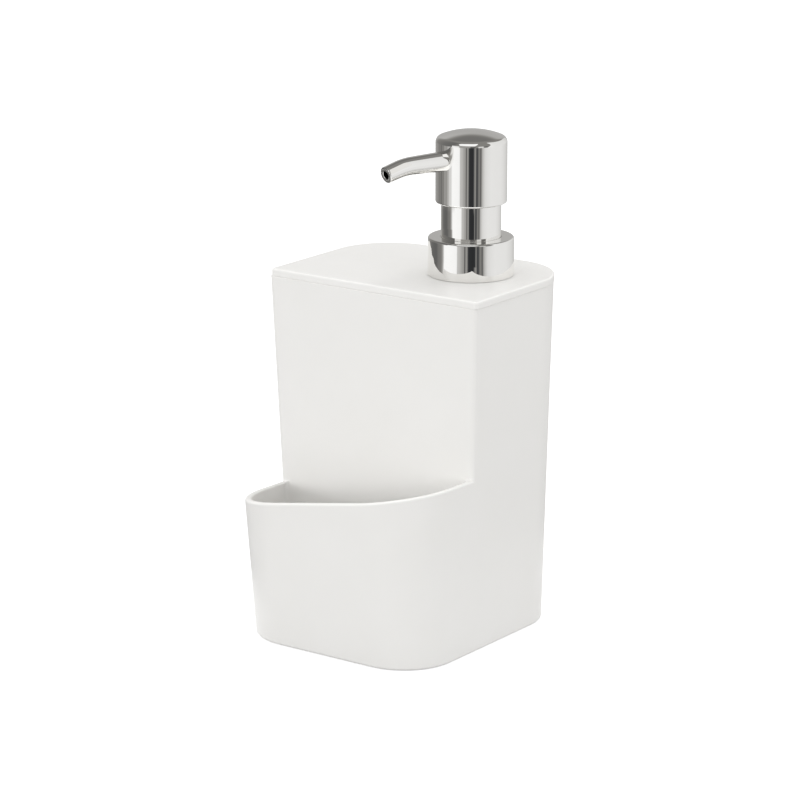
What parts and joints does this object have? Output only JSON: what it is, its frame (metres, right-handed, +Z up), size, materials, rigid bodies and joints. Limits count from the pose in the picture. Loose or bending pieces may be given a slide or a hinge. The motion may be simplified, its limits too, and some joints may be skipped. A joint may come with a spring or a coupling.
{
  "type": "soap pump caddy",
  "caption": "Soap dispenser tank with a sponge pocket in front, a lift-off lid and a screw-on hand pump with a swivelling spout.",
  "frame": {"origin": "centre of the base's foot outline, on the surface that the caddy stands on", "axes": "+Z up, the sponge pocket faces -Y, +X to the right when the pocket faces the viewer"},
  "size_m": [0.0991, 0.1094, 0.1988],
  "materials": {
    "white_plastic": "gloss",
    "seal_rubber": "matte",
    "gasket_foam": "matte",
    "chrome": "mirror",
    "natural_plastic": "satin",
    "steel": "polished",
    "tube_plastic": "satin"
  },
  "bodies": {
    "caddy": {"caddy_body": "white_plastic"},
    "lid": {"tank_lid": "white_plastic", "lid_seal": "seal_rubber"},
    "pump_unit": {"pump_barrel": "natural_plastic", "stem_guide": "natural_plastic", "collar_sleeve": "chrome", "neck_gasket": "gasket_foam", "ball_cage": "natural_plastic", "dip_tube": "tube_plastic", "return_spring": "steel"},
    "collar": {"pump_collar": "chrome", "collar_insert": "natural_plastic"},
    "plunger": {"piston": "natural_plastic"},
    "head": {"pump_stem": "natural_plastic", "spring_seat": "natural_plastic", "head_core": "natural_plastic", "head_cap": "chrome", "spout_tube": "chrome"},
    "inlet_valve": {"inlet_ball": "steel"},
    "outlet_valve": {"outlet_ball": "steel"}
  },
  "joints": [
    {"name": "lid_lift", "type": "slide", "parent": "caddy", "child": "lid", "axis": [0, 0, 1], "range_m": [0, 0.145]},
    {"name": "pump_climb", "type": "slide", "parent": "lid", "child": "pump_unit", "axis": [0, 0, 1], "range_m": [0, 0.0053]},
    {"name": "collar_turn", "type": "hinge", "parent": "pump_unit", "child": "collar", "pos_m": [0.02, 0.0195, 0.15], "axis": [0, 0, 1], "range_deg": [0, 450]},
    {"name": "pump_press", "type": "slide", "parent": "pump_unit", "child": "plunger", "axis": [0, 0, -1], "range_m": [0, 0.0115], "stiffness_N_per_m": 450, "springref_m": -0.012, "deforming": ["return_spring"]},
    {"name": "spout_swivel", "type": "hinge", "parent": "plunger", "child": "head", "pos_m": [0.02, 0.0195, 0.188], "axis": [0, 0, 1], "continuous": true},
    {"name": "inlet_ball_lift", "type": "slide", "parent": "pump_unit", "child": "inlet_valve", "axis": [0, 0, 1], "range_m": [0, 0.0012]},
    {"name": "outlet_ball_lift", "type": "slide", "parent": "head", "child": "outlet_valve", "axis": [0, 0, 1], "range_m": [0, 0.001]}
  ],
  "couplings": [
    {"joint": "pump_climb", "follows": "collar_turn", "m_per_rad": 0.00067322}
  ]
}
